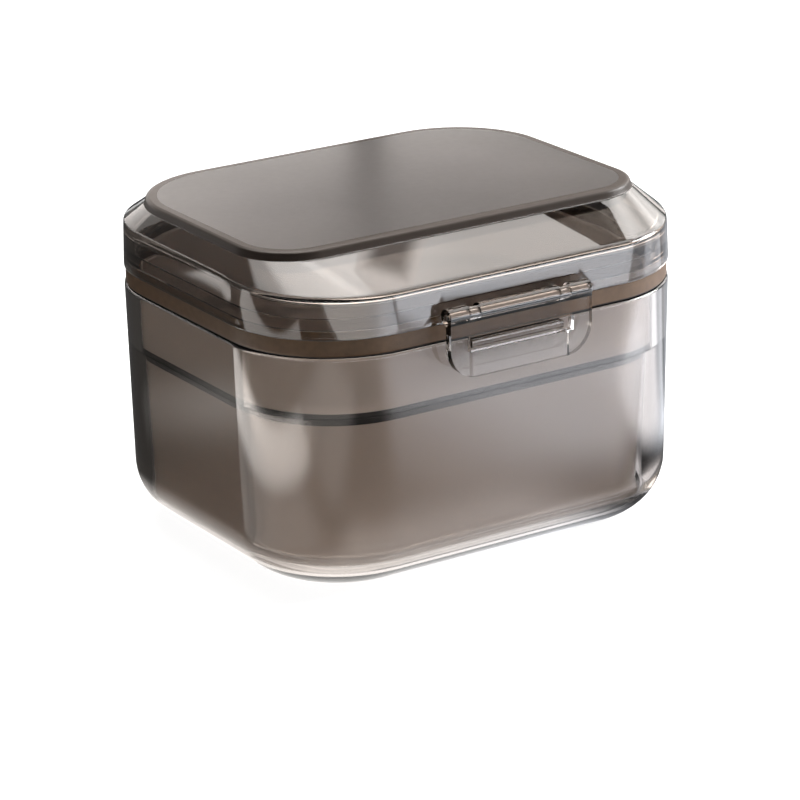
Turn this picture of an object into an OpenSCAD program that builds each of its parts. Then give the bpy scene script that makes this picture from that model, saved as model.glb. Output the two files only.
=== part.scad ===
// Denture case: a clear tub with a hanging strainer basket, a hinged lid with a soft gasket,
// and a front flap that swings over a catch bar.
// Millimetres. The origin is the middle of the footprint on the table, x runs to the right
// along the front, y to the back, z up.

/* [Tub] */
// outer width of the tub at its rim
body_w = 80; // [76:0.5:84]
// outer depth of the tub at its rim, without latch and hinge
body_d = 67.4; // [64:0.2:71]
// plan radius of the corners at the rim
corner_r = 19; // [17.5:0.25:20.5]
// height of the rim above the table
rim_z = 40.4; // [38.4:0.2:42.4]
// outward lean of the walls, degrees
draft_deg = 0.96; // [0.5:0.02:1.4]
// radius of the rounded bottom edge
foot_round = 9.5; // [8.5:0.25:10.5]
// wall thickness above the ledge
wall_t = 2.6; // [2.3:0.1:2.8]
// height of the ledge that the basket stands on
ledge_z = 29.9; // [28:0.1:31.5]
// how far the wall below the ledge comes in
ledge_w = 0.9; // [0.8:0.05:1.1]
// thickness of the floor
floor_t = 2.4; // [2:0.1:2.8]
// depth of the shallow recess inside the foot ring
foot_recess = 0.6; // [0.4:0.05:0.8]
// width of the foot ring
foot_w = 3; // [2:0.25:3.5]

/* [Basket] */
// gap between the basket collar and the tub wall
basket_gap = 0.3; // [0.25:0.05:0.4]
// thickness of the basket wall
basket_t = 1.3; // [1.1:0.05:1.5]
// height of the collar above the rim of the tub
collar_proud = 2.2; // [1.4:0.1:2.4]
// width of the step under the collar
step_w = 1; // [0.9:0.05:1.1]
// lean of the wall below the step, degrees
basket_draft_deg = 3; // [2:0.1:3.4]
// radius of the bottom edge of the basket
basket_round = 2; // [1.6:0.1:2.4]
// gap between the basket and the floor of the tub
drain_gap = 1.8; // [1.4:0.1:2.4]
// thickness of the basket floor
basket_floor_t = 1.4; // [1.2:0.1:1.8]
// diameter of a drain hole
hole_d = 3.2; // [2.6:0.1:3.6]
// distance between drain holes
hole_pitch = 5.4; // [5:0.1:5.6]
// drain holes from left to right
hole_cols = 9; // [5:2:9]
// drain holes from front to back
hole_rows = 7; // [3:2:7]

/* [Lid] */
// height of the whole case
case_h = 55; // [54:0.25:57]
// height of the gasket band between the rim and the lid
band_h = 2.9; // [2.4:0.1:3.2]
// height of the skirt of the lid at the front
skirt_h = 6.7; // [6.3:0.1:7.1]
// how much higher the shoulder runs at the back
shoulder_rise = 1; // [0.4:0.1:1.2]
// lean of the skirt, as a distance at the shoulder
skirt_lean = 0.23; // [0.1:0.01:0.3]
// wall thickness of the lid
lid_t = 2; // [1.8:0.05:2.2]
// extra thickness of the skirt just above the gasket
seat_extra = 0.6; // [0.5:0.05:0.7]
// height of the thicker part of the skirt
seat_h = 3; // [2.6:0.1:3.4]
// height of the raised top panel
panel_h = 1.3; // [1:0.05:1.5]
// run of the steep edge around the top panel
panel_edge = 0.96; // [0.6:0.04:1.2]
// distance from the side wall to the foot of the top panel
side_bevel = 2.9; // [2.5:0.1:3.3]
// distance from the back wall to the foot of the top panel
back_bevel = 4.2; // [3.8:0.1:4.6]
// distance from the front wall to the foot of the top panel
front_slope = 12; // [11:0.1:13]
// plan radius of the front corners of the top panel
panel_front_r = 10.2; // [9.4:0.2:11]
// plan radius of the back corners of the top panel
panel_back_r = 16.7; // [15.7:0.2:17.5]

/* [Gasket] */
// how far the gasket lies in from the outer wall
gasket_in = 0.25; // [0.15:0.05:0.4]
// width of the gasket
gasket_w = 1.85; // [1.7:0.05:2]
// width of the tongue in the groove of the lid
tongue_w = 0.7; // [0.5:0.05:0.8]
// height of the tongue
tongue_h = 1.3; // [1:0.1:1.6]

/* [Latch] */
// width of the flap
flap_w = 26.8; // [25:0.2:29]
// height of the lower edge of the flap above the table
flap_low_z = 34.6; // [33.6:0.1:35.4]
// radius of the rolled top of the flap and of the knuckles
barrel_r = 1.4; // [1.35:0.05:1.5]
// thickness of the flap
flap_t = 1.4; // [1.2:0.05:1.6]
// radius of the lower corners of the flap
flap_corner_r = 5; // [3:0.25:5.5]
// height of the latch pin above the gasket band
latch_rise = 1.5; // [1.5:0.05:1.7]
// width of the slot in the flap
slot_w = 19.6; // [18.8:0.1:20.4]
// height of the slot
slot_h = 2.45; // [2.2:0.05:2.6]
// width of the catch bar
catch_w = 17.4; // [15:0.2:17.6]
// height of the catch bar
catch_h = 1.25; // [1:0.05:1.4]
// distance from the top of the catch bar up to the rim
catch_drop = 0.2; // [0.1:0.05:0.4]
// how far the catch bar stands out of the wall
catch_out = 1.6; // [1.45:0.05:1.7]
// radius of the latch pin
latch_pin_r = 0.5; // [0.45:0.05:0.55]
// width of a lug of the lid behind the flap
lug_w = 1.6; // [1.4:0.1:2]
// thickness of a lug around the latch pin
lug_t = 0.4; // [0.35:0.05:0.45]

/* [Hinge] */
// width of the five knuckles together
hinge_w = 35; // [30:0.5:39]
// height of the hinge pin above the rim
hinge_rise = 1.6; // [1.5:0.05:1.7]
// radius of the hinge pin
hinge_pin_r = 0.75; // [0.6:0.05:0.8]

/* [Hidden] */
$fn = 64;
hull_fn = 40;
// overrun of a cut past the face that it opens
over = 1;
// running clearance of a pin in the part that turns on it
pin_clear = 0.03;
// clearance of the tongue in its groove
groove_clear = 0.05;
// side gap between knuckles, and between lugs and their pockets
side_gap = 0.25;
// gap around a lug in its pocket
lug_gap = 0.08;
// gap of the flap over the catch bar
catch_gap = 0.12;
// gap between the flap's barrel and what lies around it
barrel_gap = 0.25;
// small broken edge on rims
edge = 0.35;
// how deep an added form is set into its wall
root = 0.6;
// how far a flat face lies inside a round one beside it
flush = 0.06;
// how far a pin ends inside its barrel
pin_inset = 0.4;
// inward lean of the tub's inner wall, degrees
inner_draft_deg = 1.5;
inner_round = 3;
// steps of a rounded edge
arc_steps = 10;

smoke = [0.62, 0.58, 0.55, 0.45];
frost = [0.55, 0.51, 0.48, 0.8];
brown = [0.28, 0.2, 0.15];
steel = [0.75, 0.75, 0.76];

// tub
cx = body_w / 2 - corner_r;
cy = body_d / 2 - corner_r;
foot_in = (rim_z - foot_round) * tan(draft_deg);
floor_z = foot_recess + floor_t;
inner_low_in = wall_t + ledge_w + (ledge_z - floor_z - inner_round) * tan(inner_draft_deg);

// basket
collar_in = wall_t + basket_gap;
collar_z = rim_z + collar_proud;
basket_in = collar_in + step_w;
basket_z = floor_z + drain_gap;
basket_low_z = basket_z + basket_round;
basket_low_in = basket_in + (ledge_z - basket_low_z) * tan(basket_draft_deg);
basket_floor_z = basket_z + basket_floor_t;
basket_inner_r = basket_round - basket_t;

// lid
skirt_z = rim_z + band_h;
front_z = skirt_z + skirt_h;
back_z = front_z + shoulder_rise;
panel_z = case_h - panel_h;
ceiling_z = case_h - lid_t;
seat_z = skirt_z + seat_h;
slope_run = front_slope - skirt_lean;
slope_rise = panel_z - front_z;
slope_len = sqrt(slope_run * slope_run + slope_rise * slope_rise);
panel_x = body_w / 2 - side_bevel;
panel_front_y = -body_d / 2 + front_slope;
panel_back_y = body_d / 2 - back_bevel;
inner_front_z = front_z + lid_t * slope_rise / slope_run - lid_t * slope_len / slope_run;
inner_front_shift = lid_t * slope_len / slope_rise - (panel_z - ceiling_z) * slope_run / slope_rise;
groove_in = gasket_in + (gasket_w - tongue_w) / 2;

// latch
wall_y = body_d / 2;
latch_y = -wall_y - barrel_r;
latch_z = skirt_z + latch_rise;
flap_front_y = latch_y - barrel_r + flush;
catch_z = rim_z - catch_drop - catch_h;
catch_y = -wall_y - catch_out;
slot_z = catch_z - root / 3;
lug_r = latch_pin_r + lug_t;
lug_arm = lug_r / 2;
lug_x = flap_w * 0.32;

// hinge
hinge_y = wall_y + barrel_r;
hinge_z = rim_z + hinge_rise;
knuckle_count = 5;
knuckle_pitch = (hinge_w + side_gap) / knuckle_count;
knuckle_w = knuckle_pitch - side_gap;

// section points given as [distance in from the outer wall, height] become [distance from the corner centre, height]
function from_wall(points) = [for (p = points) [corner_r - p[0], p[1]]];

// quarter arc in those terms, from the wall down to the floor, or back up again
function bottom_arc(wall_in, z, r) =
    [for (i = [0 : arc_steps]) let (a = 90 * i / arc_steps)
        [wall_in + r - r * cos(a), z + r - r * sin(a)]];
function backwards(points) = [for (i = [1 : len(points)]) points[len(points) - i]];

// carries a section around the plan of the case
module around() {
    for (turn = [0, 180])
        rotate([0, 0, turn]) {
            translate([cx, cy, 0])
                rotate_extrude(angle = 90)
                    children();
            translate([-cx, cy, 0])
                rotate([0, 0, 90])
                    rotate_extrude(angle = 90)
                        children();
            translate([cx, cy, 0])
                rotate([90, 0, 0])
                    linear_extrude(2 * cy)
                        children();
            translate([-cx, cy, 0])
                rotate([90, 0, 90])
                    linear_extrude(2 * cx)
                        children();
        }
}

// block between the four corner centres
module core(z, h) {
    translate([-cx, -cy, z])
        cube([2 * cx, 2 * cy, h]);
}

// round bar along x, centred
module bar(r, w, x, y, z) {
    translate([x - w / 2, y, z])
        rotate([0, 90, 0])
            cylinder(r = r, h = w);
}

// plate of the given outline in y and z, centred on x
module rib(points, w, x) {
    translate([x - w / 2, 0, 0])
        rotate([90, 0, 90])
            linear_extrude(w)
                polygon(points);
}

function knuckle_x(i) = (i - (knuckle_count - 1) / 2) * knuckle_pitch;

// one knuckle of the tub: barrel and the gusset below it
module tub_knuckle(i) {
    face_y = hinge_y + barrel_r - flush;
    bar(barrel_r, knuckle_w, knuckle_x(i), hinge_y, hinge_z);
    rib([[wall_y - root, rim_z - 4 * barrel_r], [wall_y - flush, rim_z - 4 * barrel_r],
         [face_y, rim_z - flush], [face_y, hinge_z], [hinge_y, hinge_z],
         [wall_y + flush, rim_z + flush], [wall_y + flush, rim_z - edge], [wall_y - root, rim_z - edge]],
        knuckle_w, knuckle_x(i));
}

// one knuckle of the lid: barrel and the gusset above it
module lid_knuckle(i) {
    face_y = hinge_y + barrel_r - flush;
    bar(barrel_r, knuckle_w, knuckle_x(i), hinge_y, hinge_z);
    rib([[wall_y - root, skirt_z + edge], [wall_y + flush, skirt_z], [hinge_y, hinge_z],
         [face_y, hinge_z], [face_y, skirt_z], [wall_y - flush, skirt_z + 2 * barrel_r],
         [wall_y - root, skirt_z + 2 * barrel_r]],
        knuckle_w, knuckle_x(i));
}

module outer_case() {
    foot_end = foot_in + foot_round + foot_w;
    section = concat(
        [[wall_t, rim_z - edge], [wall_t - edge, rim_z], [edge, rim_z], [0, rim_z - edge]],
        bottom_arc(foot_in, 0, foot_round),
        [[foot_end, 0], [foot_end + foot_recess, foot_recess], [corner_r, foot_recess], [corner_r, floor_z]],
        backwards(bottom_arc(inner_low_in, floor_z, inner_round)),
        [[wall_t + ledge_w, ledge_z], [wall_t, ledge_z]]);
    color(smoke)
    difference() {
        union() {
            around()
                polygon(from_wall(section));
            core(foot_recess, floor_t);
            translate([-catch_w / 2, catch_y, catch_z])
                cube([catch_w, catch_out + root, catch_h]);
            for (i = [0, 2, 4])
                tub_knuckle(i);
        }
        bar(hinge_pin_r, hinge_w + over, 0, hinge_y, hinge_z);
    }
}

module strainer_basket() {
    section = concat(
        [[collar_in + edge, collar_z], [collar_in, collar_z - edge], [collar_in, ledge_z], [basket_in, ledge_z]],
        bottom_arc(basket_low_in, basket_z, basket_round),
        [[corner_r, basket_z], [corner_r, basket_floor_z]],
        backwards(bottom_arc(basket_low_in + basket_t, basket_floor_z, basket_inner_r)),
        [[basket_in + basket_t, ledge_z - root], [collar_in + basket_t, ledge_z + basket_t],
         [collar_in + basket_t, collar_z - edge], [collar_in + basket_t - edge, collar_z]]);
    color(frost)
    difference() {
        union() {
            around()
                polygon(from_wall(section));
            core(basket_z, basket_floor_t);
        }
        for (i = [1 : hole_cols], j = [1 : hole_rows])
            translate([(i - (hole_cols + 1) / 2) * hole_pitch, (j - (hole_rows + 1) / 2) * hole_pitch,
                       basket_z - over])
                cylinder(d = hole_d, h = basket_floor_t + 2 * over, $fn = 24);
    }
}

// tapered post at a corner of the lid
module post(x, y, z, h, r, r_top) {
    translate([x, y, z])
        cylinder(r1 = r, r2 = r_top, h = h, $fn = hull_fn);
}

// skirt and slopes of the lid up to the foot of the top panel
module lid_outside() {
    hull()
        for (side = [-1, 1]) {
            post(side * cx, -cy, skirt_z, front_z - skirt_z, corner_r, corner_r - skirt_lean);
            post(side * cx, cy, skirt_z, back_z - skirt_z, corner_r, corner_r - skirt_lean);
            post(side * (panel_x - panel_front_r), panel_front_y + panel_front_r, panel_z - root, root,
                 panel_front_r, panel_front_r);
            post(side * (panel_x - panel_back_r), panel_back_y - panel_back_r, panel_z - root, root,
                 panel_back_r, panel_back_r);
        }
}

// raised top panel with its sloped edge
module lid_panel() {
    hull()
        for (side = [-1, 1]) {
            post(side * (panel_x - panel_front_r), panel_front_y + panel_front_r, panel_z, panel_h,
                 panel_front_r - flush, panel_front_r - panel_edge);
            post(side * (panel_x - panel_back_r), panel_back_y - panel_back_r, panel_z, panel_h,
                 panel_back_r - flush, panel_back_r - panel_edge);
        }
}

// hollow of the lid above the thicker part of its skirt
module lid_inside() {
    hull()
        for (side = [-1, 1]) {
            post(side * cx, -cy, seat_z, inner_front_z - seat_z, corner_r - lid_t, corner_r - lid_t - skirt_lean);
            post(side * cx, cy, seat_z, back_z - lid_t - seat_z, corner_r - lid_t, corner_r - lid_t - skirt_lean);
            post(side * (panel_x - panel_front_r), panel_front_y + panel_front_r - lid_t + inner_front_shift,
                 ceiling_z - root, root, panel_front_r - lid_t, panel_front_r - lid_t);
            post(side * (panel_x - panel_back_r), panel_back_y - panel_back_r, ceiling_z - root, root,
                 panel_back_r - lid_t, panel_back_r - lid_t);
        }
}

// lug of the lid that carries the latch pin
module front_lug(side) {
    bar(lug_r, lug_w, side * lug_x, latch_y, latch_z);
    rib([[-wall_y + root, latch_z - lug_arm], [latch_y, latch_z - lug_arm],
         [latch_y, latch_z + lug_arm], [-wall_y + root, latch_z + lug_arm]], lug_w, side * lug_x);
}

// pocket in the roll of the flap for one lug, open over a quarter turn of the flap
module lug_pocket(side) {
    pocket_w = lug_w + 2 * side_gap;
    reach = barrel_r + over;
    clear = lug_arm + barrel_gap;
    bar(lug_r + lug_gap, pocket_w, side * lug_x, latch_y, latch_z);
    rib([[latch_y, latch_z - clear], [latch_y + reach, latch_z - clear], [latch_y + reach, latch_z + reach],
         [latch_y - clear, latch_z + reach], [latch_y - clear, latch_z]], pocket_w, side * lug_x);
}

module lid_cover() {
    seat_in = lid_t + seat_extra;
    color(smoke)
    difference() {
        union() {
            difference() {
                union() {
                    lid_outside();
                    lid_panel();
                }
                lid_inside();
                around()
                    polygon(from_wall([[seat_in, skirt_z - over], [corner_r, skirt_z - over],
                                       [corner_r, seat_z + flush], [seat_in, seat_z + flush]]));
                core(skirt_z - over, seat_h + over + flush);
                around()
                    polygon(from_wall([[groove_in - groove_clear, skirt_z - over],
                                       [groove_in + tongue_w + groove_clear, skirt_z - over],
                                       [groove_in + tongue_w + groove_clear, skirt_z + tongue_h + groove_clear],
                                       [groove_in - groove_clear, skirt_z + tongue_h + groove_clear]]));
                bar(barrel_r + barrel_gap, flap_w + 2 * barrel_gap, 0, latch_y, latch_z);
            }
            for (side = [-1, 1])
                front_lug(side);
            for (i = [1, 3])
                lid_knuckle(i);
        }
        bar(hinge_pin_r + pin_clear, hinge_w + over, 0, hinge_y, hinge_z);
        bar(latch_pin_r, flap_w, 0, latch_y, latch_z);
    }
}

module lid_gasket() {
    inner = gasket_in + gasket_w;
    color(brown)
    around()
        polygon(from_wall([[gasket_in + edge, rim_z], [gasket_in, rim_z + edge], [gasket_in, skirt_z],
                           [groove_in, skirt_z], [groove_in, skirt_z + tongue_h],
                           [groove_in + tongue_w, skirt_z + tongue_h], [groove_in + tongue_w, skirt_z],
                           [inner, skirt_z], [inner, rim_z + edge], [inner - edge, rim_z]]));
}

module latch_flap() {
    half = flap_w / 2;
    straight_z = flap_low_z + flap_corner_r;
    channel_y = catch_y - catch_gap;
    color(smoke)
    difference() {
        union() {
            translate([-half, flap_front_y, straight_z])
                cube([flap_w, flap_t, latch_z - straight_z]);
            translate([-half + flap_corner_r, flap_front_y, flap_low_z])
                cube([flap_w - 2 * flap_corner_r, flap_t, flap_corner_r]);
            for (side = [0, 1])
                mirror([side, 0, 0])
                    translate([half - flap_corner_r, flap_front_y, straight_z])
                        rotate([-90, 0, 0])
                            rotate_extrude(angle = 90)
                                square([flap_corner_r, flap_t]);
            bar(barrel_r, flap_w, 0, latch_y, latch_z);
        }
        translate([-slot_w / 2, flap_front_y - over, slot_z])
            cube([slot_w, flap_t + 2 * over, slot_h]);
        translate([-catch_w / 2 - side_gap, channel_y, flap_low_z - over])
            cube([catch_w + 2 * side_gap, flap_t + over, slot_z - flap_low_z + 2 * over]);
        for (side = [-1, 1])
            lug_pocket(side);
        bar(latch_pin_r + pin_clear, flap_w + over, 0, latch_y, latch_z);
    }
}

module latch_pin() {
    color(steel)
    bar(latch_pin_r, flap_w - 2 * pin_inset, 0, latch_y, latch_z);
}

module hinge_pin() {
    color(steel)
    bar(hinge_pin_r, hinge_w - 2 * pin_inset, 0, hinge_y, hinge_z);
}

outer_case();
strainer_basket();
lid_cover();
lid_gasket();
latch_flap();
latch_pin();
hinge_pin();
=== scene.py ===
import math

import bmesh
import bpy
from mathutils import Matrix, Vector


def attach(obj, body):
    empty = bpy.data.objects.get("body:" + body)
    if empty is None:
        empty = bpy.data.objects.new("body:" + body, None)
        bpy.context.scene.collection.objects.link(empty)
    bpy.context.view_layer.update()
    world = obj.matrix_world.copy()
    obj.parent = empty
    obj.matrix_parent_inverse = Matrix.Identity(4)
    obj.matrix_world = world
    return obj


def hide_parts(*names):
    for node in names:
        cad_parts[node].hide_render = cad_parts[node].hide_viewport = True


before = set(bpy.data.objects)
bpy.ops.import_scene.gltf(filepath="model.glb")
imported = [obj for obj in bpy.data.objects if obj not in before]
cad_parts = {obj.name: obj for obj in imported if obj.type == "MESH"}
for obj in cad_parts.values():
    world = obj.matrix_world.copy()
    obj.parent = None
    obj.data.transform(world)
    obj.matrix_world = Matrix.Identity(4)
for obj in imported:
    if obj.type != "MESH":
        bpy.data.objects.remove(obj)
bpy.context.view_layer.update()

# Sizes are in millimetres, in the frame of the CAD part, and angles in degrees. Meshes are in metres.
MM = 0.001

# ---------------------------------------------------------------- sizes
# outlines: half width, y of front and back, corner radius at front and back. The body's is taken at the
# rim, the panel's where the lid's slope ends, and the hollow's inside the lid under the panel.
BODY = (40.0, -33.7, 33.7, 19.0, 19.0)
PANEL = (37.1, -21.7, 29.5, 10.2, 16.7)
HOLLOW = (35.1, -17.3, 27.5, 8.2, 14.7)
# body: height of the rim, outer draft, rounding of the bottom edge, heights of further rows on the wall
RIM_Z, DRAFT, FOOT_ROUND, WALL_ROWS = 40.4, math.tan(math.radians(0.96)), 9.5, (18, 28)
# tub: wall, ledge under the basket, floor and the recess below it, inner rounding and draft
WALL, LEDGE_Z, LEDGE_W, FLOOR_T, RECESS = 2.6, 29.9, 0.9, 2.4, 0.6
INNER_ROUND, INNER_DRAFT = 3.0, math.tan(math.radians(1.5))
# ring that the tub stands on: how far in its foot, the top of its slope and the flat recess lie
RING_FOOT, RING_TOP, RING_IN = 3.0, 3.6, 4.2
# catch bar on the tub: y of its root and face, z of its bottom and top, half its length
CATCH_ROOT, CATCH_FACE, CATCH_LOW, CATCH_TOP, CATCH_HALF = -33.2, -35.3, 38.95, 40.2, 8.7
# basket: collar, step under it, wall, floor, draft; the line of painted shade on the step and how far it
# leans out
COLLAR_IN, COLLAR_Z, STEP_W, BASKET_T = 2.9, 42.6, 1.0, 1.3
BASKET_Z, BASKET_ROUND, BASKET_FLOOR = 4.8, 2.0, 1.4
BASKET_DRAFT = math.tan(math.radians(3))
LINE_BELOW, LINE_ABOVE, LINE_LEAN = 1.3, 0.85, 0.06
# drain holes: pitch, columns and rows to each side of the middle ones; radius in the middle, at the
# mouth and past it; height of the chamfer and of the part past the mouth
HOLE_PITCH, HOLE_COLUMNS, HOLE_ROWS = 5.4, 4, 3
HOLE_R, MOUTH_R, PAST_R, CHAMFER, PAST = 1.6, 1.82, 1.9, 0.22, 0.1
# lid: heights of skirt, shoulder at front and back, panel's edge and panel; inner seat and wall
SKIRT_Z, FRONT_Z, BACK_Z, PANEL_Z, TOP_Z = 43.3, 50.0, 51.0, 53.7, 55.0
SEAT_Z, LID_T, SEAT_EXTRA = 46.3, 2.0, 0.6
SHOULDER_RUN = 26.0  # depth over which the shoulder rises from front to back
# how far in from the panel's outline its bend, its frame of painted shade and the satin face begin; the
# height of the bend; how far in the slope starts on the skirt
BEND_IN, FRAME_IN, SATIN_IN, BEND_Z, SLOPE_IN = 0.35, 0.96, 2.16, 54.8, 0.23
# inside: heights of the hollow's shoulder at front and back and of its top, width of the bend to the top
HOLLOW_FRONT_Z, HOLLOW_BACK_Z, HOLLOW_TOP_Z, HOLLOW_BEND = 48.6, 49.4, 53.0, 1.6
GROOVE_OUT, GROOVE_IN, GROOVE_H = 1.0, 1.8, 1.35
# gasket: band and tongue, measured in from the body's outline, gap under the skirt, height of its seam
BAND_OUT, BAND_IN, TONGUE_OUT, TONGUE_IN, TONGUE_H = 0.25, 2.1, 1.07, 1.73, 1.25
BAND_GAP, BAND_SEAM = 0.01, 41.6
# latch: axis, roll and its relief in the lid, lugs of the lid with the gaps beside and round them, arms
LATCH_Y, LATCH_Z, BARREL_R = -35.1, 44.8, 1.4
RELIEF_R, RELIEF_HALF = 1.65, 13.65
LUG_X, LUG_W, LUG_R, SIDE_GAP, LUG_GAP = 8.576, 1.6, 0.9, 0.25, 0.08
ARM_ROOT, ARM_LOW, ARM_TOP = -33.1, 44.35, 45.25
# flap: half width, bottom, corner radius, y of its faces; slot; pocket in the roll, as an outline in
# (y, z); channel behind the lower edge, in (y, x)
FLAP_HALF, FLAP_LOW, FLAP_R, FLAP_FRONT, FLAP_BACK = 13.4, 34.6, 5.0, -36.44, -35.04
SLOT_HALF, SLOT_LOW, SLOT_TOP, SLOT_CUT = 9.8, 38.75, 41.2, (-37.5, -33)
POCKET = [(-35.1, 44.1), (-32.7, 44.1), (-32.7, 47.2), (-35.8, 47.2), (-35.8, 44.8)]
CHANNEL = [(-35.42, -9.0), (-34.9, -9.6), (-34.9, 9.6), (-35.42, 9.0)]
CHANNEL_LOW, CHANNEL_TOP = 33, 38.9
# back hinge: axis, length, gap between its five knuckles, and their webs as outlines in (y, z)
HINGE_Y, HINGE_Z, HINGE_LENGTH, KNUCKLE_GAP, KNUCKLES = 35.1, 42.0, 35, 0.25, 5
TUB_WEB = [(33.1, 34.8), (33.55, 34.8), (36.44, 40.34), (36.44, 42.0), (35.1, 42.0),
           (33.76, 40.46), (33.7, 40.05), (33.1, 40.05)]
LID_WEB = [(33.1, 43.65), (33.76, 43.34), (35.1, 42.0), (36.44, 42.0), (36.44, 43.3),
           (33.55, 46.1), (33.1, 46.1)]
# bores: radius in tub, lid and flap, half length at the hinge and at the latch
TUB_BORE, LID_BORE, LUG_BORE, FLAP_BORE = 0.752, 0.78, 0.502, 0.53
HINGE_REACH, LATCH_REACH = 18.5, 14
# points along each corner and side of a ring; share of a side that one rounding may take
CORNER_STEPS, SIDE_STEPS, SIDE_SHARE = 20, 10, 0.48


# ---------------------------------------------------------------- mesh helpers
def rounded(points, steps=4):
    """Polyline of tuples that end in a rounding length; each corner becomes a short smooth curve."""
    out = []
    for i, point in enumerate(points):
        corner, length = Vector(point[:-1]), point[-1]
        if length <= 0 or i in (0, len(points) - 1):
            out.append(tuple(corner))
            continue
        back = Vector(points[i - 1][:-1]) - corner
        ahead = Vector(points[i + 1][:-1]) - corner
        start = corner + back * (min(length, SIDE_SHARE * back.length) / back.length)
        end = corner + ahead * (min(length, SIDE_SHARE * ahead.length) / ahead.length)
        for k in range(steps + 1):
            t = k / steps
            out.append(tuple(start * (1 - t) ** 2 + corner * 2 * t * (1 - t) + end * t ** 2))
    return out


def plan(hx, yf, yb, rf, rb, zf, zb):
    """Rounded rectangle from -hx to hx and yf to yb, with radii and heights for front and back."""
    corners = [(hx - rb, yb - rb, rb, 0), (-hx + rb, yb - rb, rb, 90),
               (-hx + rf, yf + rf, rf, 180), (hx - rf, yf + rf, rf, 270)]
    ring = []
    for i, (cx, cy, r, first) in enumerate(corners):
        for k in range(CORNER_STEPS + 1):
            a = math.radians(first + 90 * k / CORNER_STEPS)
            ring.append((cx + r * math.cos(a), cy + r * math.sin(a)))
        nx, ny, nr, following = corners[(i + 1) % 4]
        a = math.radians(following)
        start, end = ring[-1], (nx + nr * math.cos(a), ny + nr * math.sin(a))
        for k in range(1, SIDE_STEPS):
            t = k / SIDE_STEPS
            ring.append((start[0] * (1 - t) + end[0] * t, start[1] * (1 - t) + end[1] * t))
    out = []
    for x, y in ring:
        w = min(1.0, max(0.0, (y - yf) / SHOULDER_RUN))
        w = w * w * (3 - 2 * w)
        out.append(Vector((x, y, zf + (zb - zf) * w)) * MM)
    return out


def inset(outline, d):
    hx, yf, yb, rf, rb = outline
    return hx - d, yf + d, yb - d, rf - d, rb - d


def body_rings(rows):
    """Rings at rows of (distance in from the body's outline, height)."""
    return [plan(*inset(BODY, d), z, z) for d, z in rows]


def quarter(cx, cz, r, first, last, step):
    """Rows (distance in, height, no rounding) of an arc: 0 degrees is the wall, 90 the floor."""
    return [(cx - r * math.cos(math.radians(a)), cz - r * math.sin(math.radians(a)), 0)
            for a in range(first, last, step)]


def arc(cx, cy, r, a0, a1, n):
    angles = [math.radians(a0 + (a1 - a0) * k / n) for k in range(n + 1)]
    return [(cx + r * math.cos(a), cy + r * math.sin(a)) for a in angles]


def to_object(name, bm):
    bmesh.ops.recalc_face_normals(bm, faces=bm.faces)
    mesh = bpy.data.meshes.new(name)
    bm.to_mesh(mesh)
    bm.free()
    o = bpy.data.objects.new(name, mesh)
    bpy.context.scene.collection.objects.link(o)
    return o


def skin(name, rings, closed=False):
    """Mesh through a list of rings, with flat ends or joined end to end."""
    bm = bmesh.new()
    rows = [[bm.verts.new(p) for p in ring] for ring in rings]
    n = len(rows[0])
    pairs = list(zip(rows, rows[1:]))
    if closed:
        pairs.append((rows[-1], rows[0]))
    for a, b in pairs:
        for i in range(n):
            j = (i + 1) % n
            bm.faces.new((a[i], a[j], b[j], b[i]))
    if not closed:
        bm.faces.new(list(reversed(rows[0])))
        bm.faces.new(rows[-1])
    return to_object(name, bm)


def prism(name, outline, start, end, axis="x"):
    """Outline in (y, z) carried along x, in (x, z) carried along y, or in (y, x) carried along z."""
    put = {"x": lambda t, a, b: (t, a, b),
           "y": lambda t, a, b: (a, t, b),
           "z": lambda t, a, b: (b, a, t)}[axis]
    bm = bmesh.new()
    low = [bm.verts.new(Vector(put(start, a, b)) * MM) for a, b in outline]
    high = [bm.verts.new(Vector(put(end, a, b)) * MM) for a, b in outline]
    n = len(outline)
    for i in range(n):
        j = (i + 1) % n
        bm.faces.new((low[i], low[j], high[j], high[i]))
    bm.faces.new(list(reversed(low)))
    bm.faces.new(high)
    return to_object(name, bm)


def rod(name, y, z, r, x0, x1, n=40):
    angles = [2 * math.pi * k / n for k in range(n)]
    return prism(name, [(y + r * math.cos(a), z + r * math.sin(a)) for a in angles], x0, x1)


def combine(o, others, how):
    """Boolean of o with other objects, which are then removed."""
    bpy.context.view_layer.objects.active = o
    for other in others:
        m = o.modifiers.new("b", "BOOLEAN")
        m.operation = how
        m.solver = "EXACT"
        m.object = other
        bpy.ops.object.modifier_apply(modifier=m.name)
        bpy.data.objects.remove(other)
    return o


def join(objects):
    bm = bmesh.new()
    for o in objects:
        bm.from_mesh(o.data)
    for o in objects[1:]:
        bpy.data.objects.remove(o)
    bm.to_mesh(objects[0].data)
    bm.free()
    return objects[0]


def bevel(o, width, segments=2, angle=35):
    bpy.context.view_layer.objects.active = o
    m = o.modifiers.new("e", "BEVEL")
    m.width = width * MM
    m.segments = segments
    m.limit_method = "ANGLE"
    m.angle_limit = math.radians(angle)
    m.harden_normals = False
    bpy.ops.object.modifier_apply(modifier=m.name)


def smooth(o, angle=32):
    for other in bpy.context.selected_objects:
        other.select_set(False)
    o.select_set(True)
    bpy.context.view_layer.objects.active = o
    bpy.ops.object.shade_smooth_by_angle(angle=math.radians(angle))
    m = o.modifiers.new("n", "WEIGHTED_NORMAL")
    m.keep_sharp = True
    m.weight = 100
    bpy.ops.object.modifier_apply(modifier=m.name)
    o.select_set(False)


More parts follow.
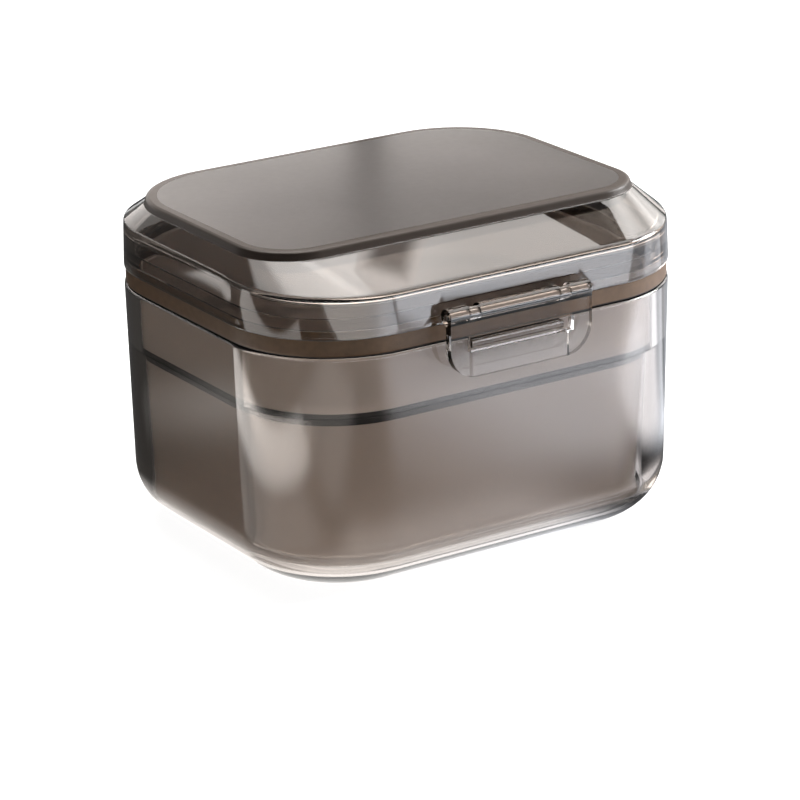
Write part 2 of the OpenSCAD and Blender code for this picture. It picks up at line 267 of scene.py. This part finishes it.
# ---------------------------------------------------------------- tub
def tub_section():
    """Rows (distance in, height, rounding) from the recess, over foot, wall and rim, to the floor."""
    low_in = (RIM_Z - FOOT_ROUND) * DRAFT
    foot = low_in + FOOT_ROUND
    floor_z = RECESS + FLOOR_T
    inner_in = WALL + LEDGE_W + (LEDGE_Z - floor_z - INNER_ROUND) * INNER_DRAFT
    points = [(foot + RING_IN, RECESS, 0), (foot + RING_TOP, RECESS, 0.5), (foot + RING_FOOT, 0, 0.4)]
    points += quarter(foot, FOOT_ROUND, FOOT_ROUND, 90, -1, -5)
    points += [((RIM_Z - z) * DRAFT, z, 0) for z in WALL_ROWS]
    points += [(0, RIM_Z, 0.5), (WALL, RIM_Z, 0.5), (WALL, LEDGE_Z, 0.15), (WALL + LEDGE_W, LEDGE_Z, 0.3)]
    points += quarter(inner_in + INNER_ROUND, floor_z + INNER_ROUND, INNER_ROUND, 0, 91, 9)
    return rounded(points)


def knuckle(name, i, web):
    """Knuckle i of the back hinge, counted from the left, with its web."""
    pitch = (HINGE_LENGTH + KNUCKLE_GAP) / KNUCKLES
    x = (i - KNUCKLES // 2) * pitch
    half = (pitch - KNUCKLE_GAP) / 2
    barrel = rod(name, HINGE_Y, HINGE_Z, BARREL_R, x - half, x + half)
    return combine(barrel, [prism(name + "_g", web, x - half, x + half)], "UNION")


tub = skin("tub", body_rings(tub_section()))
catch = prism("catch", rounded([(CATCH_ROOT, CATCH_LOW, 0), (CATCH_FACE, CATCH_LOW, 0.3),
                                (CATCH_FACE, CATCH_TOP, 0.3), (CATCH_ROOT, CATCH_TOP, 0)], 3),
              -CATCH_HALF, CATCH_HALF)
combine(tub, [catch] + [knuckle("k%d" % i, i, TUB_WEB) for i in (0, 2, 4)], "UNION")
combine(tub, [rod("bore", HINGE_Y, HINGE_Z, TUB_BORE, -HINGE_REACH, HINGE_REACH)], "DIFFERENCE")
smooth(tub)


# ---------------------------------------------------------------- basket
def basket_section():
    """Rows from the underside, up the outside with its step, over the collar, to the floor's top."""
    step_in = COLLAR_IN + STEP_W
    low_z = BASKET_Z + BASKET_ROUND
    low_in = step_in + (LEDGE_Z - low_z) * BASKET_DRAFT
    centre = low_in + BASKET_ROUND
    floor_z = BASKET_Z + BASKET_FLOOR
    inner_round = BASKET_ROUND - BASKET_T
    flat = centre + 0.5
    points = [(flat, BASKET_Z, 0)]
    points += quarter(centre, low_z, BASKET_ROUND, 90, -1, -6)
    points += [(step_in - LINE_LEAN, LEDGE_Z - LINE_BELOW, 0), (step_in, LEDGE_Z, 0),
               (COLLAR_IN, LEDGE_Z, 0), (COLLAR_IN, LEDGE_Z + LINE_ABOVE, 0), (COLLAR_IN, COLLAR_Z, 0.5),
               (COLLAR_IN + BASKET_T, COLLAR_Z, 0.5), (COLLAR_IN + BASKET_T, LEDGE_Z + BASKET_T, 0.8),
               (step_in + BASKET_T, LEDGE_Z - 0.6, 0.8)]
    points += quarter(centre, floor_z + inner_round, inner_round, 0, 91, 6)
    points += [(flat, floor_z, 0)]
    return rounded(points)


def drain_hole(x, y, n=28):
    """Cutter for one hole of the basket's floor, with a chamfer at both ends."""
    angles = [2 * math.pi * k / n for k in range(n)]
    low, top = BASKET_Z, BASKET_Z + BASKET_FLOOR
    rows = [(PAST_R, low - PAST), (MOUTH_R, low), (HOLE_R, low + CHAMFER),
            (HOLE_R, top - CHAMFER), (MOUTH_R, top), (PAST_R, top + PAST)]
    return skin("h", [[Vector((x + r * math.cos(a), y + r * math.sin(a), z)) * MM for a in angles]
                      for r, z in rows])


basket = skin("basket", body_rings(basket_section()))
holes = [drain_hole(i * HOLE_PITCH, j * HOLE_PITCH) for i in range(-HOLE_COLUMNS, HOLE_COLUMNS + 1)
         for j in range(-HOLE_ROWS, HOLE_ROWS + 1)]
combine(basket, [join(holes)], "DIFFERENCE")
smooth(basket)


# ---------------------------------------------------------------- lid
def lid_rings():
    """Rings over panel, slope, skirt and the gasket's groove, and back up the inside."""
    groove_z = SKIRT_Z + GROOVE_H
    seat = LID_T + SEAT_EXTRA
    # outline, distance in from it, height at front and back, rounding
    rows = [
        (PANEL, SATIN_IN, TOP_Z, TOP_Z, 0),
        (PANEL, FRAME_IN, TOP_Z, TOP_Z, 0.2),
        (PANEL, BEND_IN, BEND_Z, BEND_Z, 0.55),
        (PANEL, 0, PANEL_Z, PANEL_Z, 0.35),
        (BODY, SLOPE_IN, FRONT_Z, BACK_Z, 0.9),
        (BODY, 0, SKIRT_Z, SKIRT_Z, 0.3),
        (BODY, GROOVE_OUT, SKIRT_Z, SKIRT_Z, 0),
        (BODY, GROOVE_OUT, groove_z, groove_z, 0.1),
        (BODY, GROOVE_IN, groove_z, groove_z, 0.1),
        (BODY, GROOVE_IN, SKIRT_Z, SKIRT_Z, 0),
        (BODY, seat, SKIRT_Z, SKIRT_Z, 0.3),
        (BODY, seat, SEAT_Z, SEAT_Z, 0.25),
        (BODY, LID_T, SEAT_Z + 0.05, SEAT_Z + 0.05, 0.25),
        (BODY, LID_T + SLOPE_IN, HOLLOW_FRONT_Z, HOLLOW_BACK_Z, 1.2),
        (HOLLOW, 0, HOLLOW_TOP_Z, HOLLOW_TOP_Z, 1.0),
        (HOLLOW, HOLLOW_BEND, HOLLOW_TOP_Z, HOLLOW_TOP_Z, 0),
    ]
    return [plan(*row) for row in rounded([(*inset(outline, d), *rest) for outline, d, *rest in rows], 5)]


def lug(side):
    """Lug of the lid that carries the latch pin, with its arm."""
    x0, x1 = side * LUG_X - LUG_W / 2, side * LUG_X + LUG_W / 2
    barrel = rod("lug", LATCH_Y, LATCH_Z, LUG_R, x0, x1)
    arm = [(ARM_ROOT, ARM_LOW), (LATCH_Y, ARM_LOW), (LATCH_Y, ARM_TOP), (ARM_ROOT, ARM_TOP)]
    return combine(barrel, [prism("arm", arm, x0, x1)], "UNION")


lid = skin("lid", lid_rings())
lid_knuckles = [knuckle("l%d" % i, i, LID_WEB) for i in (1, 3)]
combine(lid, [rod("relief", LATCH_Y, LATCH_Z, RELIEF_R, -RELIEF_HALF, RELIEF_HALF)], "DIFFERENCE")
combine(lid, lid_knuckles + [lug(-1), lug(1)], "UNION")
combine(lid, [rod("bore", HINGE_Y, HINGE_Z, LID_BORE, -HINGE_REACH, HINGE_REACH),
              rod("bore2", LATCH_Y, LATCH_Z, LUG_BORE, -LATCH_REACH, LATCH_REACH)], "DIFFERENCE")
smooth(lid)

# ---------------------------------------------------------------- gasket
band_top, tongue_top = SKIRT_Z - BAND_GAP, SKIRT_Z + TONGUE_H
gasket_rows = rounded([
    (BAND_OUT, BAND_SEAM, 0), (BAND_OUT, band_top, 0.15),
    (TONGUE_OUT, band_top, 0), (TONGUE_OUT, tongue_top, 0.1),
    (TONGUE_IN, tongue_top, 0.1), (TONGUE_IN, band_top, 0),
    (BAND_IN, band_top, 0.15), (BAND_IN, RIM_Z, 0.5),
    (BAND_OUT, RIM_Z, 0.5), (BAND_OUT, BAND_SEAM, 0),
])
gasket = skin("gasket", body_rings(gasket_rows[:-1]), closed=True)
smooth(gasket)


# ---------------------------------------------------------------- flap
def flap_outline():
    """Outline in (x, z), with rounded lower corners, up to the middle of the roll."""
    x, z = FLAP_HALF - FLAP_R, FLAP_LOW + FLAP_R
    return (arc(x, z, FLAP_R, -90, 0, 10) + [(FLAP_HALF, LATCH_Z), (-FLAP_HALF, LATCH_Z)]
            + arc(-x, z, FLAP_R, 180, 270, 10))


def pocket(side):
    """Cutter that leaves room in the roll for a lug of the lid and for its arm as the flap turns."""
    reach = LUG_W / 2 + SIDE_GAP
    x0, x1 = side * LUG_X - reach, side * LUG_X + reach
    opening = prism("opening", POCKET, x0, x1)
    return combine(rod("pocket", LATCH_Y, LATCH_Z, LUG_R + LUG_GAP, x0, x1), [opening], "UNION")


flap = prism("flap", flap_outline(), FLAP_FRONT, FLAP_BACK, axis="y")
combine(flap, [rod("roll", LATCH_Y, LATCH_Z, BARREL_R, -FLAP_HALF, FLAP_HALF, 48)], "UNION")
slot = prism("slot", [(-SLOT_HALF, SLOT_LOW), (SLOT_HALF, SLOT_LOW),
                      (SLOT_HALF, SLOT_TOP), (-SLOT_HALF, SLOT_TOP)], *SLOT_CUT, axis="y")
channel = prism("channel", CHANNEL, CHANNEL_LOW, CHANNEL_TOP, axis="z")
combine(flap, [slot, channel, pocket(-1), pocket(1)], "DIFFERENCE")
bevel(flap, 0.22)
combine(flap, [rod("bore", LATCH_Y, LATCH_Z, FLAP_BORE, -LATCH_REACH, LATCH_REACH)], "DIFFERENCE")
smooth(flap)


# ---------------------------------------------------------------- materials
SMOKE = (0.36, 0.3, 0.25)  # colour that the clear plastic lets through
CLEAR_GRAIN, FROST_GRAIN = (60.0, 0.0002), (900.0, 0.000003)  # scale of the noise, height of its bump
ROUGH_RANGE = (0.85, 1.25)  # the noise varies the roughness between these shares of it


def new_material(name):
    mat = bpy.data.materials.new(name)
    mat.use_nodes = True
    return mat, mat.node_tree


def object_noise(t, scale, detail):
    coord = t.nodes.new("ShaderNodeTexCoord")
    noise = t.nodes.new("ShaderNodeTexNoise")
    noise.inputs["Scale"].default_value = scale
    noise.inputs["Detail"].default_value = detail
    t.links.new(coord.outputs["Object"], noise.inputs["Vector"])
    return noise.outputs["Fac"]


def bump(t, height, strength, distance):
    """Bump in metres on the material's shader."""
    n = t.nodes.new("ShaderNodeBump")
    n.inputs["Strength"].default_value = strength
    n.inputs["Distance"].default_value = distance
    t.links.new(height, n.inputs["Height"])
    t.links.new(n.outputs["Normal"], t.nodes["Principled BSDF"].inputs["Normal"])


def tones(t, value, low, low_color, high, high_color):
    """Base colour that goes from one colour to another as the value goes from low to high."""
    n = t.nodes.new("ShaderNodeValToRGB")
    for element, position, color in zip(n.color_ramp.elements, (low, high), (low_color, high_color)):
        element.position = position
        element.color = (*color, 1)
    t.links.new(value, n.inputs["Fac"])
    t.links.new(n.outputs["Color"], t.nodes["Principled BSDF"].inputs["Base Color"])


def clear_plastic(name, tint, rough, density, frost=False, transmission=1.0, specular=0.5):
    """Smoke-tinted plastic: the volume's absorption gives the smoke, and frost a fine matt grain."""
    mat, t = new_material(name)
    shader = t.nodes["Principled BSDF"]
    for key, value in (("Base Color", (*tint, 1)), ("Transmission Weight", transmission), ("IOR", 1.5),
                       ("Roughness", rough), ("Specular IOR Level", specular)):
        shader.inputs[key].default_value = value
    scale, height = FROST_GRAIN if frost else CLEAR_GRAIN
    grain = object_noise(t, scale, 3.0)
    spread = t.nodes.new("ShaderNodeMapRange")
    for key, share in zip(("To Min", "To Max"), ROUGH_RANGE):
        spread.inputs[key].default_value = rough * share
    t.links.new(grain, spread.inputs["Value"])
    t.links.new(spread.outputs["Result"], shader.inputs["Roughness"])
    bump(t, grain, 0.03, height)
    smoke = t.nodes.new("ShaderNodeVolumeAbsorption")
    smoke.inputs["Color"].default_value = (*SMOKE, 1)
    smoke.inputs["Density"].default_value = density
    t.links.new(smoke.outputs["Volume"], t.nodes["Material Output"].inputs["Volume"])
    return mat


def solid(name, color, rough, metallic=0.0, scale=700.0, spread=0.12, specular=0.5):
    """Opaque material with a fine noise in its colour and surface."""
    mat, t = new_material(name)
    shader = t.nodes["Principled BSDF"]
    grain = object_noise(t, scale, 4.0)
    tones(t, grain, 0.3, [c * (1 - spread) for c in color], 0.7, [c * (1 + spread) for c in color])
    shader.inputs["Metallic"].default_value = metallic
    shader.inputs["Roughness"].default_value = rough
    shader.inputs["Specular IOR Level"].default_value = specular
    bump(t, grain, 0.1, 0.00005)
    return mat


clear = clear_plastic("clear_smoke", (1, 1, 1), 0.012, 200)
clear_lid = clear_plastic("clear_smoke_lid", (1, 1, 1), 0.012, 480)
panel = clear_plastic("satin_panel", (0.9, 0.86, 0.84), 0.36, 480, frost=True, transmission=0.92)
tones(panel.node_tree, object_noise(panel.node_tree, 26.0, 1.5),
      0.35, (0.3, 0.25, 0.225), 0.68, (0.52, 0.45, 0.415))
# painted shade: a near-black, mostly opaque copy of the satin plastic darkens the panel's frame and bend
panel_rim_painted_shade = clear_plastic("clear_smoke_edge", (0.045, 0.033, 0.026), 0.36, 170, frost=True,
                          transmission=0.2, specular=0.1)
# the roll's copy of the clear plastic has a darker tint, which is painted shade, and a weaker gloss
roll_clear_painted_shade = clear_plastic("clear_smoke_roll", (0.66, 0.61, 0.57), 0.012, 420, specular=0.12)
frosted = clear_plastic("frosted_smoke", (0.95, 0.85, 0.78), 0.2, 60, frost=True, transmission=0.6)
# painted shade: a near-black copy of the frosted plastic makes the dark line under the basket's collar
painted_step_shade = clear_plastic("frosted_smoke_painted_step_shade", (0.05, 0.045, 0.045), 0.2, 130, frost=True, transmission=0.5)
silicone = solid("brown_silicone", (0.1, 0.056, 0.027), 0.4, specular=0.25)
# painted shadow: a near-black material for the contact shadow between gasket and rim
painted_seam_shadow = solid("painted_seam_shadow", (0.012, 0.009, 0.007), 0.6)
steel = solid("ground_steel", (0.6, 0.6, 0.61), 0.28, 1.0, 2500.0, 0.08)


def cover(o, mat):
    o.data.materials.clear()
    o.data.materials.append(mat)


def paint(o, mat, chosen):
    """Give a further material to the faces that are still plain and for which chosen(face, z) holds."""
    o.data.materials.append(mat)
    for f in o.data.polygons:
        if f.material_index == 0 and chosen(f, f.center.z / MM):
            f.material_index = len(o.data.materials) - 1


def outward(f):
    return f.center.x * f.normal.x + f.center.y * f.normal.y


for o, mat in ((tub, clear), (basket, frosted), (lid, clear_lid), (gasket, silicone), (flap, clear)):
    cover(o, mat)
# the lid's flat top is one face with many corners; a rim of painted shade runs round it, down to the slope
paint(lid, panel, lambda f, z: z > TOP_Z - 0.1 and len(f.vertices) > 4)
paint(lid, panel_rim_painted_shade, lambda f, z: z > PANEL_Z and f.normal.z > 0.1)
# painted shade: the flap's faces above the skirt get the darker roll material
paint(flap, roll_clear_painted_shade, lambda f, z: z > SKIRT_Z)
# painted shade: the step's outward and downward faces get the dark copy of the frosted plastic
paint(basket, painted_step_shade, lambda f, z: (LEDGE_Z - LINE_BELOW - 0.05 < z < LEDGE_Z + LINE_ABOVE + 0.05
                                       and (outward(f) > 0.001 or f.normal.z < -0.5)))
# painted shadow: the gasket's lowest outward faces, where it meets the rim, get the near-black material
paint(gasket, painted_seam_shadow, lambda f, z: z < RIM_Z + 0.32 and outward(f) > 0.0)
for name in ("latch_pin", "hinge_pin"):
    cover(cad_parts[name], steel)

for o, body, node, slot_name in ((tub, "base", "outer_case", "clear_smoke"),
                                 (basket, "basket", "strainer_basket", "frosted_smoke"),
                                 (lid, "lid", "lid_cover", "clear_smoke"),
                                 (gasket, "lid", "lid_gasket", "brown_silicone"),
                                 (flap, "latch", "latch_flap", "clear_smoke")):
    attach(o, body)
    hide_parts(node)


# ---------------------------------------------------------------- studio helpers
def plane(name, size, at):
    bpy.ops.mesh.primitive_plane_add(size=size, location=at)
    o = bpy.context.object
    o.name = name
    return o


def number(t, operation, a, b):
    """Math node of two outputs or plain numbers."""
    n = t.nodes.new("ShaderNodeMath")
    n.operation = operation
    for k, v in enumerate((a, b)):
        if isinstance(v, (int, float)):
            n.inputs[k].default_value = v
        else:
            t.links.new(v, n.inputs[k])
    return n.outputs[0]


def ramp(t, value, low, high, to_low, to_high):
    """Smooth step of a value from to_low at low to to_high at high."""
    n = t.nodes.new("ShaderNodeMapRange")
    n.interpolation_type = "SMOOTHSTEP"
    t.links.new(value, n.inputs["Value"])
    for key, v in (("From Min", low), ("From Max", high), ("To Min", to_low), ("To Max", to_high)):
        n.inputs[key].default_value = v
    return n.outputs["Result"]


def separate(t, vector):
    n = t.nodes.new("ShaderNodeSeparateXYZ")
    t.links.new(vector, n.inputs[0])
    return n.outputs


def hide_card(o):
    """Cards are seen by gloss and by clear plastic only."""
    o.visible_camera = False
    o.visible_shadow = False
    o.visible_diffuse = False
    o.visible_volume_scatter = False


# ---------------------------------------------------------------- floor
# pale to the camera, gloss and clear plastic; grey to the light, so that it keeps the shadow
FLOOR_TONE, FLOOR_GLOW = 0.4, 0.92

floor = plane("floor", 6.0, (0, 0, -0.0002))
mat, t = new_material("floor")
t.nodes.clear()
diffuse = t.nodes.new("ShaderNodeBsdfDiffuse")
diffuse.inputs["Color"].default_value = (FLOOR_TONE, FLOOR_TONE, FLOOR_TONE, 1)
rays = t.nodes.new("ShaderNodeLightPath").outputs
seen = number(t, "MAXIMUM", number(t, "MAXIMUM", rays["Is Camera Ray"], rays["Is Glossy Ray"]),
              rays["Is Transmission Ray"])
emission = t.nodes.new("ShaderNodeEmission")
emission.inputs["Color"].default_value = (1, 1, 1, 1)
t.links.new(number(t, "MULTIPLY", seen, FLOOR_GLOW), emission.inputs["Strength"])
both = t.nodes.new("ShaderNodeAddShader")
t.links.new(diffuse.outputs[0], both.inputs[0])
t.links.new(emission.outputs[0], both.inputs[1])
t.links.new(both.outputs[0], t.nodes.new("ShaderNodeOutputMaterial").inputs["Surface"])
floor.data.materials.append(mat)

# ---------------------------------------------------------------- world
WORLD_TINT = (1, 0.965, 0.935)
HORIZON, OVERHEAD = 0.32, 0.16
# what clear plastic sees through itself: direction, widest and narrowest angle, strength far and near
THROUGH = ((0.75, -0.66, 0.1), 140, 40, 0.3, 1.25)
# spots that gloss alone sees: direction, angle of the outer and inner edge, 0, strength
TWIN_SPOTS = (((0.36, 0.25, 0.9), 32, 23, 0, 4.0), ((0.0, 0.4, 0.92), 22, 17, 0, 4.0))
SPOTS = (((0.3, 0.6, 0.74), 15.5, 12.3, 0, 2.6), ((0.16, 0.38, 0.91), 18, 9, 0, 4.5),
         ((0.87, 0.36, 0.335), 17, 9, 0, 4.5), ((0.7, 0.46, 0.55), 11, 6, 0, 2.5))

world = bpy.data.worlds.new("studio")
bpy.context.scene.world = world
world.use_nodes = True
t = world.node_tree
background = t.nodes["Background"]
background.inputs["Color"].default_value = (*WORLD_TINT, 1)
direction = t.nodes.new("ShaderNodeTexCoord").outputs["Generated"]
rays = t.nodes.new("ShaderNodeLightPath").outputs


def toward(aim, wide, narrow, low, high):
    """Number that goes from low to high as the ray's direction comes close to another."""
    n = t.nodes.new("ShaderNodeVectorMath")
    n.operation = "DOT_PRODUCT"
    n.inputs[1].default_value = Vector(aim).normalized()
    t.links.new(direction, n.inputs[0])
    edges = [math.cos(math.radians(angle)) for angle in (wide, narrow)]
    return ramp(t, n.outputs["Value"], *edges, low, high)


pick = t.nodes.new("ShaderNodeMix")
pick.data_type = "FLOAT"
t.links.new(rays["Is Transmission Ray"], pick.inputs["Factor"])
t.links.new(ramp(t, separate(t, direction)["Z"], 0.1, 0.5, HORIZON, OVERHEAD), pick.inputs["A"])
t.links.new(toward(*THROUGH), pick.inputs["B"])
spots = number(t, "MAXIMUM", toward(*TWIN_SPOTS[0]), toward(*TWIN_SPOTS[1]))
for spot in SPOTS:
    spots = number(t, "ADD", spots, toward(*spot))
spots = number(t, "MULTIPLY", spots, rays["Is Glossy Ray"])
t.links.new(number(t, "ADD", pick.outputs["Result"], spots), background.inputs["Strength"])

# ---------------------------------------------------------------- reflector
# It lies on the floor round the object. Its patches of light: x0, x1, y0, y1, soft edge, strength
PATCHES = [
    (8, 500, -500, -58, 18, 1.7),
    (30, 115, -108, -60, 14, 1.7),
    (70, 500, -500, -151, 6, 5.0),
    (40, 92, -150, -131, 4, -1.25),  # takes light away from what the flap's top mirrors
    (-500, 60, -500, -177, 2, 3.5),
    (-500, 500, -500, -171, 3, 1.0),
    (64, 260, -95, 2, 9, 2.2),
    (-40, 22, -58, 30, 10, 1.8),
    (-115, -50, -125, -58, 10, 0.9),
    (-87, -67, 42, 70, 14, 0.8),
    (-133, -126, 125, 148, 2.5, 2.5),
]
CORNER_PATCHES = [
    (-112, -82, -58, 80, 7, 4.2),
    (-110, -48, -46, 60, 10, 1.0),
    (-200, -163, -100, 100, 4, 3.0),
]
RIGHT_PATCHES = [
    (20, 500, 5, 500, 25, 0.8),
]
# Lines kx * x + ky * y from low to high, over which the patches of a group come up. The corner's light
# stops short of what the flat left wall mirrors, and the right edge's light short of what lies straight
# behind it, so that the outline stays dark.
CUTS = ((CORNER_PATCHES, (-0.8425, -0.539, 42.0, 45.0)), (RIGHT_PATCHES, (0.6, -0.8, 20.0, 34.0)))
REFLECTOR_BASE = 0.085
LEFT_TINT, RIGHT_TINT, TINT_REACH = (1.0, 0.96, 0.92, 1), (0.94, 0.97, 1.04, 1), 60


def soft_patch(t, x, y, x0, x1, y0, y1, edge, glow):
    """Soft-edged rectangle of light, in millimetres."""
    a = number(t, "MULTIPLY", ramp(t, x, x0 - edge, x0 + edge, 0, 1), ramp(t, x, x1 - edge, x1 + edge, 1, 0))
    b = number(t, "MULTIPLY", ramp(t, y, y0 - edge, y0 + edge, 0, 1), ramp(t, y, y1 - edge, y1 + edge, 1, 0))
    return number(t, "MULTIPLY", number(t, "MULTIPLY", a, b), glow)


reflector = plane("reflector", 1.2, (0, 0, -0.0001))
mat, t = new_material("reflector")
t.nodes.clear()
position = separate(t, t.nodes.new("ShaderNodeNewGeometry").outputs["Position"])
x = number(t, "MULTIPLY", position["X"], 1 / MM)
y = number(t, "MULTIPLY", position["Y"], 1 / MM)
total = REFLECTOR_BASE
for patch in PATCHES:
    total = number(t, "ADD", total, soft_patch(t, x, y, *patch))
for patches, (kx, ky, low, high) in CUTS:
    line = number(t, "ADD", number(t, "MULTIPLY", x, kx), number(t, "MULTIPLY", y, ky))
    cut = ramp(t, line, low, high, 0, 1)
    for patch in patches:
        total = number(t, "ADD", total, number(t, "MULTIPLY", soft_patch(t, x, y, *patch), cut))
tint = t.nodes.new("ShaderNodeMix")
tint.data_type = "RGBA"
tint.inputs["A"].default_value = LEFT_TINT
tint.inputs["B"].default_value = RIGHT_TINT
t.links.new(ramp(t, x, -TINT_REACH, TINT_REACH, 0, 1), tint.inputs["Factor"])
emission = t.nodes.new("ShaderNodeEmission")
t.links.new(tint.outputs["Result"], emission.inputs["Color"])
t.links.new(total, emission.inputs["Strength"])
t.links.new(emission.outputs[0], t.nodes.new("ShaderNodeOutputMaterial").inputs["Surface"])
reflector.data.materials.append(mat)
hide_card(reflector)


# ---------------------------------------------------------------- lamps and strips
def softbox(name, at, target, size, power):
    """Square area lamp, in metres and watts."""
    light = bpy.data.lights.new(name, "AREA")
    light.shape = "RECTANGLE"
    light.size = size
    light.size_y = size
    light.energy = power
    o = bpy.data.objects.new(name, light)
    bpy.context.scene.collection.objects.link(o)
    o.location = at
    o.rotation_euler = (Vector(target) - Vector(at)).to_track_quat("-Z", "Y").to_euler()
    o.visible_transmission = False
    return o


def strip(name, at, size, along, facing, glow):
    """Flat card of size (short, long), its long side along a direction; black where glow is 0."""
    o = plane(name, 1.0, Vector(at) * MM)
    z = Vector(facing).normalized()
    y = (Vector(along) - Vector(along).dot(z) * z).normalized()
    turn = Matrix((y.cross(z), y, z)).transposed().to_4x4()
    scale = Matrix.Diagonal((size[0] * MM, size[1] * MM, 1, 1))
    o.matrix_world = Matrix.Translation(Vector(at) * MM) @ turn @ scale
    mat, t = new_material(name)
    shader = t.nodes["Principled BSDF"]
    shader.inputs["Base Color"].default_value = (0.02, 0.018, 0.016, 1)
    shader.inputs["Roughness"].default_value = 0.9
    shader.inputs["Emission Color"].default_value = (1, 0.94, 0.9, 1)
    shader.inputs["Emission Strength"].default_value = glow
    o.data.materials.append(mat)
    hide_card(o)
    o.visible_transmission = False
    return t


softbox("right_box", (0.52, -0.14, 0.26), (0.03, -0.02, 0.02), 0.3, 7.5)
softbox("top_box", (0.2, 0.33, 0.58), (0, 0, 0.05), 0.62, 5.0).visible_glossy = False

# The first bar shows on the lid's slope as a soft dark band that ends halfway down it: dim in the
# middle, bright toward its long edges and past the end that the slope's lower half mirrors.
BAR_DIM, BAR_BRIGHT = 0.8, 5.0
t = strip("bar_0", (83.6, 71.8, 187.1), (13, 120), (6.6, 7.8, 0.9), (0.513, 0.493, 0.702), 0.0)
place = separate(t, t.nodes.new("ShaderNodeTexCoord").outputs["Object"])
sides = ramp(t, number(t, "ABSOLUTE", place["X"], 0.0), 0.15, 0.5, BAR_DIM, BAR_BRIGHT)
end = ramp(t, place["Y"], -0.075, -0.03, BAR_BRIGHT, BAR_DIM)
t.links.new(number(t, "MAXIMUM", sides, end), t.nodes["Principled BSDF"].inputs["Emission Strength"])
strip("bar_1", (128.2, 61.6, 181.0), (8.5, 70), (4.8, -12, -2.9), (0.56, 0.47, 0.68), 0.0)
strip("back_strip", (30, 70, 66), (20, 260), (1, 0, 0), (0, -1, 0), 2.4)
strip("back_bar", (36.5, 66, 67), (7, 24), (0, 0, 1), (0, -1, 0), 0.0)
strip("left_strip", (-24, 84, 92), (40, 76), (1, 0, 0), (0, -1, 0), 1.0)

# ---------------------------------------------------------------- camera, fitted to the photo
CAMERA_AT, CAMERA_TARGET = (-303.641, -474.808, 218.828), (-15.2658, -24.4167, 28.7011)
CAMERA_ROLL, LENS, SENSOR = -1.1047, 161.817, 36

cam_data = bpy.data.cameras.new("camera")
cam_data.sensor_width = SENSOR
cam_data.lens = LENS
cam_data.clip_start = 0.01
cam_data.clip_end = 20
cam = bpy.data.objects.new("camera", cam_data)
bpy.context.scene.collection.objects.link(cam)
at = Vector(CAMERA_AT) * MM
turn = (Vector(CAMERA_TARGET) * MM - at).to_track_quat("-Z", "Y").to_matrix().to_4x4()
cam.matrix_world = Matrix.Translation(at) @ turn @ Matrix.Rotation(math.radians(CAMERA_ROLL), 4, "Z")
bpy.context.scene.camera = cam
bpy.context.scene.view_settings.view_transform = "Standard"
